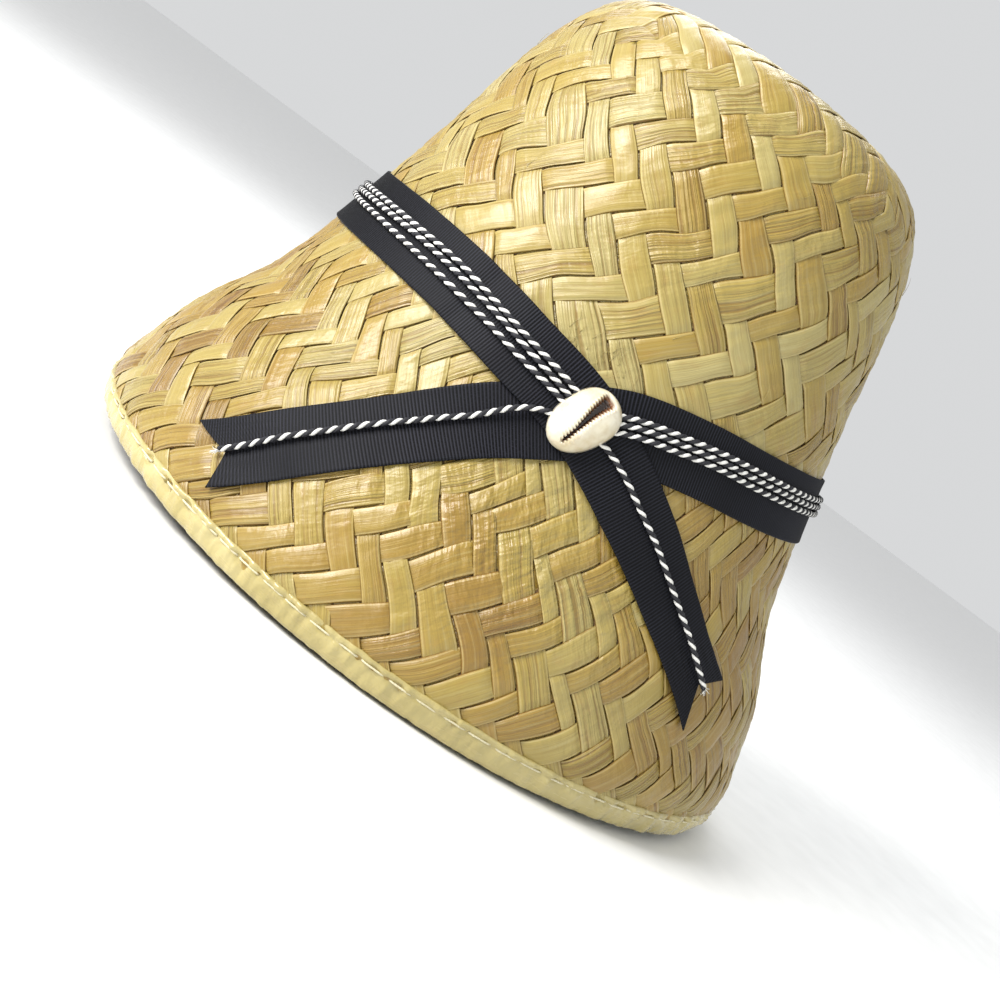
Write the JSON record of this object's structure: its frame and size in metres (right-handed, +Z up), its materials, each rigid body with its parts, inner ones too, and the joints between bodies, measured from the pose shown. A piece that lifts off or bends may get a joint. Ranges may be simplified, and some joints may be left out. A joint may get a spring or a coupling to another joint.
{
  "type": "conical hat",
  "caption": "Bell-brimmed conical hat of woven palm leaf with a taped edge, a crossed black ribbon with two loose tails, twisted cords and a cowrie ornament.",
  "frame": {"origin": "centre of the brim's edge, on the plane that the brim rests on", "axes": "+Z up along the hat's axis; the wearer faces -Y; the ornament is on the wearer's left, at +X"},
  "size_m": [0.2656, 0.2856, 0.243],
  "materials": {
    "palm_straw": "glossy natural fibre",
    "binding_tape": "glossy",
    "binding_thread": "satin",
    "grosgrain": "ribbed",
    "twist_cord": "twisted black and white",
    "shell": "porcelain gloss",
    "glue": "translucent"
  },
  "bodies": {
    "hat": {"woven_body": "palm_straw", "edge_binding": "binding_tape", "binding_stitches": "binding_thread", "ribbon_band": "grosgrain", "band_cord_upper": "twist_cord", "band_cord_middle": "twist_cord", "band_cord_lower": "twist_cord", "front_tail_cord_root": "twist_cord", "lower_tail_cord_root": "twist_cord", "cowrie_shell": "shell", "shell_glue": "glue", "ribbon_glue_dots": "glue"},
    "front_tail": {"ribbon_tail_front": "grosgrain", "front_tail_cord": "twist_cord"},
    "lower_tail": {"ribbon_tail_lower": "grosgrain", "lower_tail_cord": "twist_cord"}
  },
  "joints": [
    {"name": "front_tail_lift", "type": "hinge", "parent": "hat", "child": "front_tail", "pos_m": [0.10381, -0.01408, 0.08699], "axis": [-0.3145, -0.6403, 0.7007], "range_deg": [0, 60]},
    {"name": "lower_tail_lift", "type": "hinge", "parent": "hat", "child": "lower_tail", "pos_m": [0.09726, 0.03921, 0.09262], "axis": [0.4083, -0.4186, -0.8112], "range_deg": [0, 60]}
  ]
}
